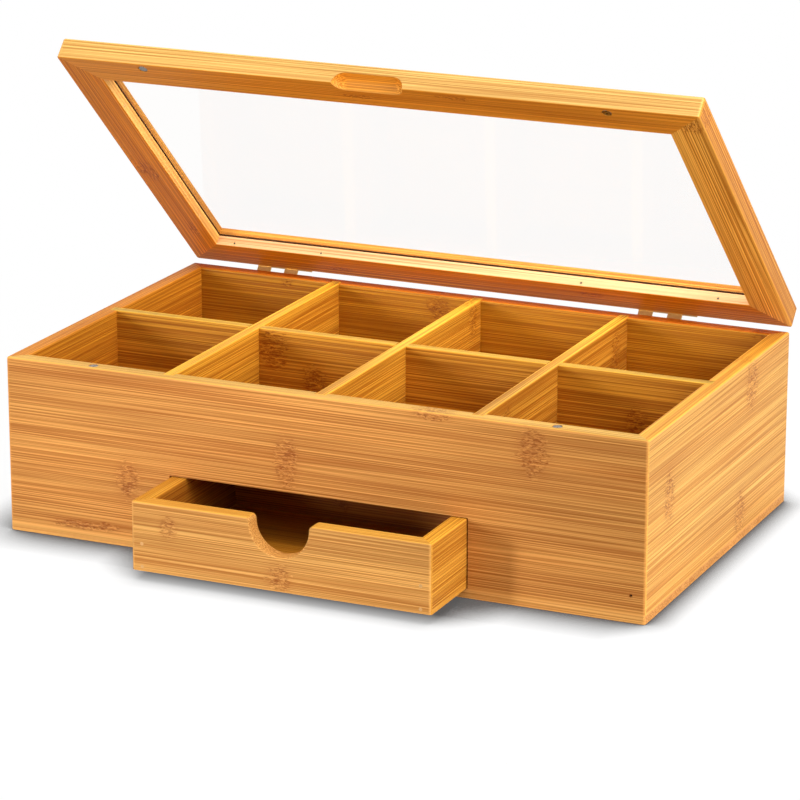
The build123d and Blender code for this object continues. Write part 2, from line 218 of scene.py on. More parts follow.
def bamboo_group(settings):
    """The colour and relief of pressed bamboo. Board has X along the grain and Y across the
    strips."""
    tree = bpy.data.node_groups.new("pressed_bamboo", "ShaderNodeTree")
    given = interface(
        tree, {"Board": "Vector", "Normal": "Vector", "Slice": "Vector", "Size": "Vector",
               "Knuckle": "Float", "Tint": "Vector", "Rim": "Vector", "End": "Float",
               "Cutaway": "Vector", "Figure": "Float"},
        {"Color": "Color", "Roughness": "Float", "Height": "Float"})
    board = given["Board"]
    pale, dark = opaque(settings.pale), opaque(settings.dark)

    # A knuckle has a ragged outline, and fibres run round it, so they are pushed aside there
    wobble = add(tree, "ShaderNodeVectorMath", {0: board, 1: RAGGEDNESS}, operation="MULTIPLY")
    wobble = add(tree, "ShaderNodeTexNoise", {"Vector": wobble, "Scale": 1, "Detail": 2})
    wobble = add(tree, "ShaderNodeMath", {0: wobble, 1: 0.5}, operation="SUBTRACT")
    knuckle = add(tree, "ShaderNodeMath", {0: wobble, 1: 1.1, 2: given["Knuckle"]},
                  operation="MULTIPLY_ADD")
    knuckle = add(tree, "ShaderNodeMapRange", {"Value": knuckle, "From Min": 0.38,
                                               "From Max": 0.70})
    push = add(tree, "ShaderNodeMath", {0: knuckle, 1: PUSH_AT_KNUCKLE, 2: PUSH},
               operation="MULTIPLY_ADD")
    push = add(tree, "ShaderNodeMath", {0: wobble, 1: push}, operation="MULTIPLY")
    push = add(tree, "ShaderNodeCombineXYZ", {"Y": push, "Z": push})
    grain = add(tree, "ShaderNodeVectorMath", {0: board, 1: push}, operation="ADD")

    def drawn_out(reach, detail, distortion=0.0):
        """Noise that reaches so far along the grain and across it."""
        along, across = reach
        place = add(tree, "ShaderNodeVectorMath",
                    {0: grain, 1: (1 / along, 1 / across, 1 / across), 2: given["Slice"]},
                    operation="MULTIPLY_ADD")
        return add(tree, "ShaderNodeTexNoise",
                   {"Vector": place, "Scale": 1, "Detail": detail, "Roughness": 0.55,
                    "Distortion": distortion})

    fibres = drawn_out((settings.fibre_length, settings.fibre_width), 2)
    both = add(tree, "ShaderNodeMath", {0: fibres, 1: FIBRES_SHARE}, operation="MULTIPLY")
    both = add(tree, "ShaderNodeMath", {0: drawn_out(STREAKS, 2), 1: 1 - FIBRES_SHARE, 2: both},
               operation="MULTIPLY_ADD")
    both = add(tree, "ShaderNodeMapRange", {"Value": both, "From Min": 0.40, "From Max": 0.58})
    wood = add(tree, "ShaderNodeMix", {"Factor": both, "A": dark, "B": pale}, data_type="RGBA")
    line = add(tree, "ShaderNodeMapRange", {"Value": drawn_out(LINES, 1), "From Min": 0.46,
                                            "From Max": 0.58})

    # Knuckles: short dark flecks with pale wood between them
    flecks = drawn_out(FLECKS, 2, 0.6)
    spots = add(tree, "ShaderNodeMapRange", {"Value": flecks, "From Min": 0.49, "From Max": 0.62})
    gaps = add(tree, "ShaderNodeMapRange", {"Value": flecks, "From Min": 0.47, "From Max": 0.36})
    dark_flecks = add(tree, "ShaderNodeMath", {0: spots, 1: knuckle}, operation="MULTIPLY")
    pale_flecks = add(tree, "ShaderNodeMath", {0: gaps, 1: knuckle}, operation="MULTIPLY")
    for marks, strength, colour in ((line, given["Figure"], settings.line),
                                    (pale_flecks, 0.4, settings.pale),
                                    (dark_flecks, 0.62, settings.knuckle)):
        marks = add(tree, "ShaderNodeMath", {0: marks, 1: strength}, operation="MULTIPLY")
        wood = add(tree, "ShaderNodeMix", {"Factor": marks, "A": wood, "B": opaque(colour)},
                   data_type="RGBA")

    # The wood round a knuckle is a little darker and redder
    halo = add(tree, "ShaderNodeMix", {"Factor": given["Knuckle"], "A": UNCHANGED,
                                       "B": (0.90, 0.82, 0.78)}, data_type="VECTOR")
    wood = add(tree, "ShaderNodeVectorMath", {0: wood, 1: halo}, operation="MULTIPLY")

    # Each strip came from another stem, and each board has lighter and darker reaches
    _, across, _ = add(tree, "ShaderNodeSeparateXYZ", {0: board}).outputs
    strip = add(tree, "ShaderNodeMath", {0: across, 1: settings.strip_width}, operation="DIVIDE")
    strip = add(tree, "ShaderNodeMath", {0: strip}, operation="FLOOR")
    strip = add(tree, "ShaderNodeVectorMath", {0: given["Slice"], 1: strip}, operation="ADD")
    strip = add(tree, "ShaderNodeTexWhiteNoise", {"Vector": strip}, noise_dimensions="3D")
    strip = add(tree, "ShaderNodeMapRange", {"Value": strip, "To Min": 0.93, "To Max": 1.06})
    cloud = add(tree, "ShaderNodeMapRange", {"Value": drawn_out(CLOUDS, 1), "From Min": 0.3,
                                             "From Max": 0.7, "To Min": 0.91, "To Max": 1.08})

    # Cut ends of the fibres drink more lacquer and darken
    facing = add(tree, "ShaderNodeSeparateXYZ", {0: given["Normal"]}).outputs
    cut = add(tree, "ShaderNodeMath", {0: facing["X"]}, operation="ABSOLUTE")
    cut = add(tree, "ShaderNodeMapRange", {"Value": cut, "From Min": 0.45, "From Max": 0.95,
                                           "To Max": given["End"]})
    drunk = add(tree, "ShaderNodeMath", {0: spots, 1: -0.22, 2: 0.88}, operation="MULTIPLY_ADD")
    drunk = add(tree, "ShaderNodeMapRange", {"Value": cut, "To Min": 1.0, "To Max": drunk})

    # Edges are paler: a painted highlight where the rounded edges catch the light. Sanding blurs
    # the fibres there. The middle one of the three distances to the board's faces is the distance
    # to the nearest edge
    half = add(tree, "ShaderNodeVectorMath", {0: given["Size"], "Scale": 0.5}, operation="SCALE")
    inside = add(tree, "ShaderNodeVectorMath", {0: board, 1: half}, operation="SUBTRACT")
    inside = add(tree, "ShaderNodeVectorMath", {0: inside}, operation="ABSOLUTE")
    inside = add(tree, "ShaderNodeVectorMath", {0: half, 1: inside}, operation="SUBTRACT")
    x, y, z = add(tree, "ShaderNodeSeparateXYZ", {0: inside}).outputs
    least = add(tree, "ShaderNodeMath", {0: x, 1: y}, operation="MINIMUM")
    most = add(tree, "ShaderNodeMath", {0: x, 1: y}, operation="MAXIMUM")
    middle = add(tree, "ShaderNodeMath", {0: most, 1: z}, operation="MINIMUM")
    middle = add(tree, "ShaderNodeMath", {0: least, 1: middle}, operation="MAXIMUM")
    edge = add(tree, "ShaderNodeMapRange", {"Value": middle, "From Min": 0.2 * MM,
                                            "From Max": 1.4 * MM, "To Min": 1.10, "To Max": 1.0})
    plain = add(tree, "ShaderNodeMapRange", {"Value": middle, "From Min": 0.3 * MM,
                                             "From Max": 1.3 * MM, "To Min": 0.7, "To Max": 0.0})
    even = add(tree, "ShaderNodeMix", {"Factor": 0.7, "A": dark, "B": pale}, data_type="RGBA")
    wood = add(tree, "ShaderNodeMix", {"Factor": plain, "A": wood, "B": even}, data_type="RGBA")
    for tone in (strip, cloud, drunk, edge):
        wood = add(tree, "ShaderNodeVectorMath", {0: wood, "Scale": tone}, operation="SCALE")

    # A board's narrow face shows the strips from another side. Its tint is also painted light:
    # pale tops stand in for the overhead light and the lacquer's sheen on them, darker ones for
    # shade
    narrow = add(tree, "ShaderNodeMath", {0: facing["Y"]}, operation="ABSOLUTE")
    narrow = add(tree, "ShaderNodeMapRange", {"Value": narrow, "From Min": 0.5, "From Max": 0.9})
    outer = add(tree, "ShaderNodeMath", {0: y, 1: 0.4 * MM}, operation="LESS_THAN")
    narrow = add(tree, "ShaderNodeMath", {0: narrow, 1: outer}, operation="MULTIPLY")
    rim = add(tree, "ShaderNodeMix", {"Factor": narrow, "A": UNCHANGED, "B": given["Rim"]},
              data_type="VECTOR")
    # Where a cutter went into the board, its faces take the cutaway tint
    depth = add(tree, "ShaderNodeMath", {0: least, 1: z}, operation="MINIMUM")
    depth = add(tree, "ShaderNodeMapRange", {"Value": depth, "From Min": 0.1 * MM,
                                             "From Max": 0.9 * MM})
    cutaway_tint = add(tree, "ShaderNodeMix", {"Factor": depth, "A": UNCHANGED,
                                        "B": given["Cutaway"]}, data_type="VECTOR")
    for tint in (rim, given["Tint"], cutaway_tint):
        wood = add(tree, "ShaderNodeVectorMath", {0: wood, 1: tint}, operation="MULTIPLY")

    rough = add(tree, "ShaderNodeMapRange", {"Value": fibres, "From Min": 0.3, "From Max": 0.7,
                                             "To Min": settings.roughness + 0.08,
                                             "To Max": settings.roughness - 0.04})
    rough = add(tree, "ShaderNodeMath", {0: cut, 1: 0.15, 2: rough}, operation="MULTIPLY_ADD")
    relief = fibres
    for marks, height in ((line, -0.5), (dark_flecks, -0.8)):
        relief = add(tree, "ShaderNodeMath", {0: marks, 1: height, 2: relief},
                     operation="MULTIPLY_ADD")
    add(tree, "NodeGroupOutput", {"Color": wood, "Roughness": rough, "Height": relief})


def bamboo(name, grain, across, tint, figure=0.35, knuckles=(), slot=None, rim=RIM,
           inside=None, end=1.0, cutaway=UNCHANGED):
    """Side-pressed bamboo for one board: a warm satin wood with fine straight fibres, thin
    darker lines and, where the stem had a knuckle, a patch of short dark flecks. Grain and
    across are the board's directions with the lid shut. A tint is what a place has of the usual
    red, green and blue: tint itself for the board, rim for its narrow faces and cutaway where a
    cutter went in, and inside is the side of a wall that faces in, with its tint. The rim and
    inside tints are partly painted light: highlight and sheen on pale narrow tops, shade on inner
    faces and on the lid's underside. Figure is how strong the lines are, and end how much the cut
    ends darken. Each knuckle is its place along the grain, its place across, its height across
    the grain and its width along it, in mm. A rail's slot is the stretch across it where the
    sheet lies, painted dark: shade in the gap beside the sheet's edge."""
    on_lid = NODES[name]["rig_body"] == "lid"
    shut = SHUT_LID if on_lid else Matrix.Identity(4)
    low, high = extent([shut @ vertex.co for vertex in NODES[name].data.vertices])
    rows = Matrix((grain, across, grain.cross(across)))
    origin, far = extent([rows @ low, rows @ high])
    to_board = Matrix.Translation(-origin) @ rows.to_4x4()
    if on_lid:
        to_board = to_board @ SHUT_LID

    material, tree = new_material(f"side_pressed_bamboo_{name}")
    place = add(tree, "ShaderNodeTexCoord").outputs
    board = add(tree, "ShaderNodeMapping", {"Vector": place["Object"],
                                            "Location": to_board.to_translation(),
                                            "Rotation": to_board.to_euler()})
    normal = add(tree, "ShaderNodeMapping", {"Vector": place["Normal"],
                                             "Rotation": to_board.to_euler()},
                 vector_type="VECTOR")
    mask = 0.0
    for along, up, height, width in knuckles:
        stretch = Vector((2 / (width * MM), 2 / (height * MM), 0))
        shift = Vector((-along * MM * stretch.x, -up * MM * stretch.y, 0))
        spot = add(tree, "ShaderNodeVectorMath", {0: board, 1: stretch, 2: shift},
                   operation="MULTIPLY_ADD")
        spot = add(tree, "ShaderNodeVectorMath", {0: spot}, operation="LENGTH")
        spot = add(tree, "ShaderNodeMapRange", {"Value": spot, "From Min": 1.7, "From Max": 0.2},
                   interpolation_type="SMOOTHSTEP")
        mask = add(tree, "ShaderNodeMath", {0: mask, 1: spot}, operation="MAXIMUM")
    # Faces that look in, or down under the lid, take their own tint: painted shade and light for
    # how the lamps reach them
    if inside is not None:
        side, tint_inside = inside
        facing = add(tree, "ShaderNodeSeparateXYZ", {0: normal}).outputs
        inward = add(tree, "ShaderNodeMath", {0: facing["Z"], 1: side}, operation="MULTIPLY")
        inward = add(tree, "ShaderNodeMapRange", {"Value": inward, "From Min": 0.4,
                                                  "From Max": 0.8})
        tint = add(tree, "ShaderNodeMix", {"Factor": inward, "A": tint, "B": tint_inside},
                   data_type="VECTOR")
    order = sorted(NODES).index(name)
    wood = add(tree, "ShaderNodeGroup",
               {"Board": board, "Normal": normal, "Size": far - origin, "Knuckle": mask,
                "Tint": tint, "Rim": rim, "End": end, "Cutaway": cutaway, "Figure": figure,
                "Slice": (order * 7.3, order * 3.1, order * 5.7)},
               node_tree=bpy.data.node_groups["pressed_bamboo"])
    colour = wood.outputs["Color"]
    # The slot is painted dark: shade in the gap beside the sheet's edge
    if slot is not None:
        _, y, z = add(tree, "ShaderNodeSeparateXYZ", {0: board}).outputs
        middle, reach = (slot[0] + slot[1]) / 2 * MM, (slot[1] - slot[0]) / 2 * MM
        within = add(tree, "ShaderNodeMath", {0: y, 1: middle, 2: reach + 0.1 * MM},
                     operation="COMPARE")
        for height, side in ((SLOT_TOP + 0.45 * MM, "LESS_THAN"), (0.3 * MM, "GREATER_THAN")):
            limit = add(tree, "ShaderNodeMath", {0: z, 1: height}, operation=side)
            within = add(tree, "ShaderNodeMath", {0: within, 1: limit}, operation="MULTIPLY")
        colour = add(tree, "ShaderNodeMix", {"Factor": within, "A": colour,
                                             "B": SLOT_SHADE}, data_type="RGBA")
    bump = add(tree, "ShaderNodeBump", {"Height": wood.outputs["Height"], "Strength": 0.5,
                                        "Distance": 0.12 * MM})
    surface = add(tree, "ShaderNodeBsdfPrincipled",
                  {"Base Color": colour, "Roughness": wood.outputs["Roughness"],
                   "Normal": bump, "IOR": 1.5, "Specular IOR Level": SATIN_SHINE})
    add(tree, "ShaderNodeOutputMaterial", {"Surface": surface})
    dress(name, material)


# ---- Other materials --------------------------------------------------------------------

HAZE_SIZE, FILLER_GRIT = 18 * MM, 0.4 * MM


def metal(name, colour, roughness, grain_size, variation):
    """A metal with fine scratches. Roughness varies by the given amount at the given grain."""
    material, tree = new_material(name)
    place = add(tree, "ShaderNodeTexCoord").outputs["Object"]
    scratches = add(tree, "ShaderNodeTexNoise", {"Vector": place, "Scale": 1 / grain_size,
                                                 "Detail": 4})
    rough = add(tree, "ShaderNodeMapRange", {"Value": scratches, "From Min": 0.3, "From Max": 0.7,
                                             "To Min": roughness - variation,
                                             "To Max": roughness + variation})
    bump = add(tree, "ShaderNodeBump", {"Height": scratches, "Strength": 0.25,
                                        "Distance": 0.02 * MM})
    shade = add(tree, "ShaderNodeMix", {"Factor": scratches,
                                        "A": opaque([c * 0.72 for c in colour]),
                                        "B": opaque(colour)}, data_type="RGBA")
    surface = add(tree, "ShaderNodeBsdfPrincipled",
                  {"Base Color": shade, "Metallic": 1.0, "Roughness": rough, "Normal": bump})
    add(tree, "ShaderNodeOutputMaterial", {"Surface": surface})
    return material


def clear_acrylic(settings):
    """Cast acrylic sheet: clear and glossy, with a faint haze in its gloss from wiping."""
    material, tree = new_material("cast_clear_acrylic")
    place = add(tree, "ShaderNodeTexCoord").outputs["Object"]
    haze = add(tree, "ShaderNodeTexNoise", {"Vector": place, "Scale": 1 / HAZE_SIZE, "Detail": 4})
    rough = add(tree, "ShaderNodeMapRange", {"Value": haze, "From Min": 0.35, "From Max": 0.7,
                                             "To Min": 0.015, "To Max": 0.05})
    sheet = add(tree, "ShaderNodeBsdfPrincipled",
                {"Base Color": opaque(settings.tint), "Roughness": rough,
                 "IOR": settings.ior, "Transmission Weight": 1.0})
    # Lamps reach the compartments through the sheet
    through = add(tree, "ShaderNodeBsdfTransparent", {"Color": opaque(settings.tint)})
    path = add(tree, "ShaderNodeLightPath").outputs
    mix = add(tree, "ShaderNodeMixShader", {"Fac": path["Is Shadow Ray"], 1: sheet, 2: through})
    add(tree, "ShaderNodeOutputMaterial", {"Surface": mix})
    return material


def wood_filler(colour):
    """Dried filler: a matt, slightly grainy paste, paler than the wood round it."""
    material, tree = new_material("dried_wood_filler")
    place = add(tree, "ShaderNodeTexCoord").outputs["Object"]
    grit = add(tree, "ShaderNodeTexNoise", {"Vector": place, "Scale": 1 / FILLER_GRIT,
                                            "Detail": 2})
    shade = add(tree, "ShaderNodeMix", {"Factor": grit, "A": opaque([c * 0.8 for c in colour]),
                                        "B": opaque(colour)}, data_type="RGBA")
    surface = add(tree, "ShaderNodeBsdfPrincipled", {"Base Color": shade, "Roughness": 0.8})
    add(tree, "ShaderNodeOutputMaterial", {"Surface": surface})
    return material


# ---- The box ----------------------------------------------------------------------------

class TEABOX_OT_bamboo(bpy.types.Operator):
    """Make the pattern of pressed bamboo that every board takes"""
    bl_idname = "tea_box.bamboo"
    bl_label = "Bamboo pattern"

    def execute(self, context):
        bamboo_group(context.scene.tea_box_bamboo)
        return {"FINISHED"}


# The tints of the walls' inner faces. The lid's shade makes them deeper than the outer ones
FRONT_AND_RIGHT_INSIDE = (0.80, 0.62, 0.18)
LEFT_INSIDE = (0.80, 0.60, 0.145)
BACK_INSIDE = (0.67, 0.56, 0.12)


class TEABOX_OT_case(bpy.types.Operator):
    """Finish the four walls and the base of the case"""
    bl_idname = "tea_box.case"
    bl_label = "Case"

    def execute(self, context):
        # The pale rims are a painted highlight and sheen on the narrow tops; the back wall's dark
        # rim is painted shade under the lid
        bamboo("front_wall", X, Z, (0.97, 0.87, 0.76), 0.55,
               [(68.7, 31, 20, 13), (158.1, 52, 27, 13), (236.6, 87, 7, 22),
                (290, 74, 25, 17), (40, 3, 5, 30), (56, 4, 5, 14)],
               rim=(1.04, 1.36, 1.18), inside=(-1, FRONT_AND_RIGHT_INSIDE), end=0.0)
        bamboo("right_wall", Y, Z, (1.05, 1.08, 0.93), 0.5,
               [(150, 76, 26, 18), (29.5, 51, 26, 14), (135.7, 10, 25, 16)],
               rim=(1.20, 1.10, 0.55), inside=(-1, FRONT_AND_RIGHT_INSIDE), end=0.0)
        bamboo("left_wall", Y, Z, (0.98, 0.90, 0.62), 0.6, [(48, 30, 24, 11), (150, 56, 24, 11)],
               rim=(1.04, 0.84, 0.22), inside=(1, LEFT_INSIDE), end=0.0)
        bamboo("back_wall", X, Z, (0.98, 0.90, 0.62), 0.65,
               [(153, 82, 14, 15), (61.5, 85, 5, 7), (335.5, 88, 6, 9), (270, 40, 24, 11)],
               rim=(0.90, 0.50, 0.12), inside=(1, BACK_INSIDE), end=0.0)
        bamboo("base_panel", X, Y, (0.99, 0.92, 0.95), 0.3, rim=(1.03, 1.1, 1.05), end=0.0)
        return {"FINISHED"}


class TEABOX_OT_tray(bpy.types.Operator):
    """Finish the compartments' floor and dividers, and the hidden boards round the drawer"""
    bl_idname = "tea_box.tray"
    bl_label = "Compartments"

    def execute(self, context):
        # The compartments' boards are tinted deeper and warmer than the outer walls: painted shade
        # under the lid and walls, and the warm light bouncing between them. The dividers' pale
        # rims are a painted highlight on their tops
        bamboo("compartment_floor", X, Y, (0.80, 0.66, 0.20), 0.5,
               [(60, 50, 22, 11), (210, 120, 22, 11), (300, 70, 22, 11)])
        bamboo("long_divider", X, Z, (0.88, 0.78, 0.23), 0.8,
               [(96.7, 34, 24, 18), (120.5, 20, 18, 14), (300, 20, 18, 11)], rim=(1.08, 1.48, 2.0))
        common_rim = (1.12, 1.28, 1.15)
        for name, tint, knuckles, rim in (
                ("cross_divider_1", (0.89, 0.80, 0.24), [(20, 12, 20, 11)], common_rim),
                ("cross_divider_2", (0.99, 0.90, 0.30), [(186, 38, 22, 12)], common_rim),
                ("cross_divider_3", (0.86, 0.75, 0.28), [(180, 30, 26, 12), (30, 34, 16, 11)],
                 (1.20, 1.46, 1.35))):
            bamboo(name, Y, Z, tint, 0.8, knuckles, rim=rim)
        for name, grain in (("drawer_guide_left", Y), ("drawer_guide_right", Y),
                            ("drawer_stop", X)):
            bamboo(name, grain, Z, (1.0, 0.9, 0.6))
        return {"FINISHED"}


# The tints of the lid's underside, rail by rail, and of its beads. The underside's are painted
# shade and light: it faces down, and each rail's tint gives how much light reaches it. The
# beads are paler wood, and their tints also paint the light that their faces catch
FRONT_UNDERSIDE = (1.05, 0.80, 0.28)
BACK_UNDERSIDE = (0.84, 0.56, 0.04)
LEFT_UNDERSIDE = (1.16, 0.78, 0.10)
RIGHT_UNDERSIDE = (1.32, 1.32, 0.85)
CREAM, HONEY = (0.95, 1.12, 1.95), (1.32, 1.38, 1.30)


class TEABOX_OT_lid(bpy.types.Operator):
    """Finish the lid's rails and the beads round its window"""
    bl_idname = "tea_box.lid"
    bl_label = "Lid frame"

    def execute(self, context):
        outside = (1.0, 0.91, 0.66)
        # The front rail's pale rim is a painted highlight on its front edge
        bamboo("lid_front_rail", X, Y, outside, 0.5,
               [(97, 15.5, 2.5, 16), (166.5, 11.4, 3.5, 20), (219.8, 4.1, 4, 20)],
               (13.5, 19.5), rim=(1.10, 1.42, 2.10), inside=(-1, FRONT_UNDERSIDE), end=0.0,
               cutaway=(1.36, 1.34, 1.0))
        bamboo("lid_back_rail", X, Y, outside, 0.5, [(240, 8, 6, 14), (90, 12, 6, 14)],
               (0, 6), inside=(-1, BACK_UNDERSIDE), end=0.0)
        bamboo("lid_left_rail", Y, -X, outside, 0.6,
               [(111.9, 11.7, 12, 18), (174.4, 6.4, 9, 14)], (0, 6),
               inside=(-1, LEFT_UNDERSIDE), end=0.0)
        bamboo("lid_right_rail", Y, -X, outside, 0.9, [(9.4, 6.4, 16, 12)], (13.5, 19.5),
               inside=(-1, RIGHT_UNDERSIDE), end=0.0)
        for side, grain, across, tint, under in (
                ("front", X, Y, CREAM, (-1, FRONT_UNDERSIDE)),
                ("back", X, Y, CREAM, (-1, BACK_UNDERSIDE)),
                ("left", Y, X, HONEY, (1, LEFT_UNDERSIDE)),
                ("right", Y, X, HONEY, (1, RIGHT_UNDERSIDE))):
            bamboo(f"window_bead_{side}", grain, across, tint, 0.15, rim=UNCHANGED,
                   inside=under, end=0.0)
        return {"FINISHED"}


class TEABOX_OT_drawer(bpy.types.Operator):
    """Finish the drawer's four boards and its bottom"""
    bl_idname = "tea_box.drawer"
    bl_label = "Drawer"

    def execute(self, context):
        # The drawer's inner faces, its back and its bottom are tinted deeper: painted shade inside
        # the case. The pale rims are a painted highlight on the tops
        side_inside = (0.50, 0.36, 0.11)
        bamboo("drawer_front", X, Z, (1.02, 1.02, 0.98), 0.5,
               [(80.7, 6.6, 16, 13), (20, 24, 12, 9)], rim=(1.08, 1.10, 0.66),
               inside=(-1, (0.60, 0.46, 0.16)), end=0.5)
        bamboo("drawer_back", X, Z, (0.48, 0.31, 0.12), 0.5, [(70, 20, 18, 11)])
        bamboo("drawer_left", Y, Z, (0.90, 0.80, 0.42), 0.6, rim=(1.10, 1.22, 0.98),
               inside=(1, side_inside))
        bamboo("drawer_right", Y, Z, (0.92, 0.84, 0.40), 0.8, rim=(1.22, 1.35, 1.12),
               inside=(-1, side_inside))
        bamboo("drawer_bottom", X, Y, (0.82, 0.66, 0.19), 0.4, [(96, 30, 20, 11)])
        return {"FINISHED"}


class TEABOX_OT_window(bpy.types.Operator):
    """Finish the clear sheet in the lid"""
    bl_idname = "tea_box.window"
    bl_label = "Window"

    def execute(self, context):
        dress("lid_window", clear_acrylic(context.scene.tea_box_window))
        return {"FINISHED"}


class TEABOX_OT_hinges(bpy.types.Operator):
    """Finish the hinge leaves and their pins"""
    bl_idname = "tea_box.hinges"
    bl_label = "Hinges"

    def execute(self, context):
        colour = context.scene.tea_box_hardware.brass
        brass = metal("rolled_brass", colour, 0.40, 0.8 * MM, 0.08)
        for name in NODES:
            if "hinge_leaf" in name or "hinge_pin" in name:
                dress(name, brass)
        return {"FINISHED"}


# ---- Screws, brads and magnets ----------------------------------------------------------

def seats(name, outward=None):
    """The middle of each head in a CAD node and the way that it faces, with the lid shut. They
    lie along the box's own directions, and a head is wider than a point. Magnets are told
    which way."""
    mesh = bmesh.new()
    mesh.from_mesh(NODES[name].data)
    bmesh.ops.remove_doubles(mesh, verts=mesh.verts, dist=0.001 * MM)
    if NODES[name]["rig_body"] == "lid":
        mesh.transform(SHUT_LID)
    found = []
    left = set(mesh.verts)
    for first in mesh.verts:
        if first not in left:
            continue
        left.remove(first)
        solid = [first]
        for vertex in solid:
            for edge in vertex.link_edges:
                other = edge.other_vert(vertex)
                if other in left:
                    left.remove(other)
                    solid.append(other)
        low, high = extent([vertex.co for vertex in solid])
        middle, span = (low + high) / 2, high - low
        facing = outward
        if facing is None:
            axis = max(range(3), key=lambda i: span[i])
            ends = []
            for sign, end in ((-1, low), (1, high)):
                near = [v.co - middle for v in solid if abs(v.co[axis] - end[axis]) < 0.05 * MM]
                for offset in near:
                    offset[axis] = 0
                ends.append((max(offset.length for offset in near), sign))
            facing = Vector([max(ends)[1] if i == axis else 0 for i in range(3)])
        reach = sum(abs(facing[i]) * span[i] for i in range(3)) / 2
        found.append((middle + facing * reach, facing.copy()))
    mesh.free()
    return sorted(found, key=lambda seat: tuple(round(c, 6) for c in seat[0]))


def fastener_tree(name, shape):
    """A Geometry Nodes tree that puts the shape on every point and turns it to face outwards.
    The shape's function gets the tree and its inputs, and returns the parts of one fastener,
    face at zero and body below."""
    tree = bpy.data.node_groups.new(name, "GeometryNodeTree")
    given = interface(
        tree, {"Geometry": "Geometry", "Head radius": "Float", "Shank radius": "Float",
               "Length": "Float", "Head depth": "Float", "Material": "Material"},
        {"Geometry": "Geometry"})
    one = add(tree, "GeometryNodeJoinGeometry", {0: shape(tree, given)})
    facing = add(tree, "GeometryNodeInputNamedAttribute", {"Name": "facing"},
                 data_type="FLOAT_VECTOR")
    turned = add(tree, "FunctionNodeAlignRotationToVector", {"Vector": facing}, axis="Z")
    # Nobody lines up the slots of screws
    spin = add(tree, "FunctionNodeRandomValue", {2: 0.0, 3: math.tau, "Seed": 4},
               data_type="FLOAT")
    spin = add(tree, "ShaderNodeCombineXYZ", {"Z": spin})
    turned = add(tree, "FunctionNodeRotateRotation", {0: turned, 1: spin}, rotation_space="LOCAL")
    placed = add(tree, "GeometryNodeInstanceOnPoints",
                 {"Points": given["Geometry"], "Instance": one, "Rotation": turned})
    real = add(tree, "GeometryNodeRealizeInstances", {0: placed})
    finished = add(tree, "GeometryNodeSetMaterial", {"Geometry": real,
                                                     "Material": given["Material"]})
    add(tree, "NodeGroupOutput", {0: finished})
    return tree


def lowered(tree, part, depth):
    """Moves a part of a fastener down from its face by a depth that comes from the tree."""
    down = add(tree, "ShaderNodeMath", {0: depth, 1: -1}, operation="MULTIPLY")
    move = add(tree, "ShaderNodeCombineXYZ", {"Z": down})
    return add(tree, "GeometryNodeTransform", {"Geometry": part, "Translation": move})


def round_part(tree, sides, top, bottom, height, depth):
    """A round part of a fastener: its radius at the top and at the bottom, its height, and how
    deep its bottom lies below the face."""
    cone = add(tree, "GeometryNodeMeshCone", {"Vertices": sides, "Radius Top": top,
                                              "Radius Bottom": bottom, "Depth": height})
    return lowered(tree, cone, depth)


WIRE_SIDES, SCREW_SIDES, DISC_SIDES = 24, 40, 48


def shank_and_point(tree, sizes):
    """Round wire from the face to a short point."""
    wire, length = sizes["Shank radius"], sizes["Length"]
    point = add(tree, "ShaderNodeMath", {0: wire, 1: 2.2}, operation="MULTIPLY")
    straight = add(tree, "ShaderNodeMath", {0: length, 1: point}, operation="SUBTRACT")
    return [round_part(tree, WIRE_SIDES, wire, wire, straight, straight),
            round_part(tree, WIRE_SIDES, wire, 0.0, point, length)]


def brad_shape(tree, sizes):
    """A wire brad: a small flat head with a softened rim, on round wire."""
    head, depth = sizes["Head radius"], sizes["Head depth"]
    rim = add(tree, "ShaderNodeMath", {0: head, 1: 0.82}, operation="MULTIPLY")
    soft = add(tree, "ShaderNodeMath", {0: depth, 1: 0.35}, operation="MULTIPLY")
    rest = add(tree, "ShaderNodeMath", {0: depth, 1: soft}, operation="SUBTRACT")
    return [round_part(tree, WIRE_SIDES, rim, head, soft, soft),
            round_part(tree, WIRE_SIDES, head, sizes["Shank radius"], rest, depth),
            *shank_and_point(tree, sizes)]


def screw_shape(tree, sizes):
    """A countersunk wood screw with a sawn slot."""
    radius, depth, length = sizes["Head radius"], sizes["Head depth"], sizes["Length"]
    head = round_part(tree, SCREW_SIDES, radius, sizes["Shank radius"], depth, depth)
    across = add(tree, "ShaderNodeMath", {0: radius, 1: 2.4}, operation="MULTIPLY")
    width = add(tree, "ShaderNodeMath", {0: radius, 1: 0.3}, operation="MULTIPLY")
    deep = add(tree, "ShaderNodeMath", {0: depth, 1: 0.95}, operation="MULTIPLY")
    saw = add(tree, "ShaderNodeCombineXYZ", {"X": across, "Y": width, "Z": deep})
    saw = add(tree, "GeometryNodeMeshCube", {"Size": saw})
    slotted = add(tree, "GeometryNodeMeshBoolean", {0: head, 1: saw}, operation="DIFFERENCE")
    # The shank is squeezed to start inside the head
    below = add(tree, "ShaderNodeMath", {0: depth, 1: 0.9}, operation="MULTIPLY")
    short = add(tree, "ShaderNodeMath", {0: length, 1: below}, operation="SUBTRACT")
    ratio = add(tree, "ShaderNodeMath", {0: short, 1: length}, operation="DIVIDE")
    ratio = add(tree, "ShaderNodeCombineXYZ", {"X": 1, "Y": 1, "Z": ratio})
    body = add(tree, "GeometryNodeJoinGeometry", {0: shank_and_point(tree, sizes)})
    body = add(tree, "GeometryNodeTransform", {"Geometry": body, "Scale": ratio})
    return [slotted, lowered(tree, body, below)]


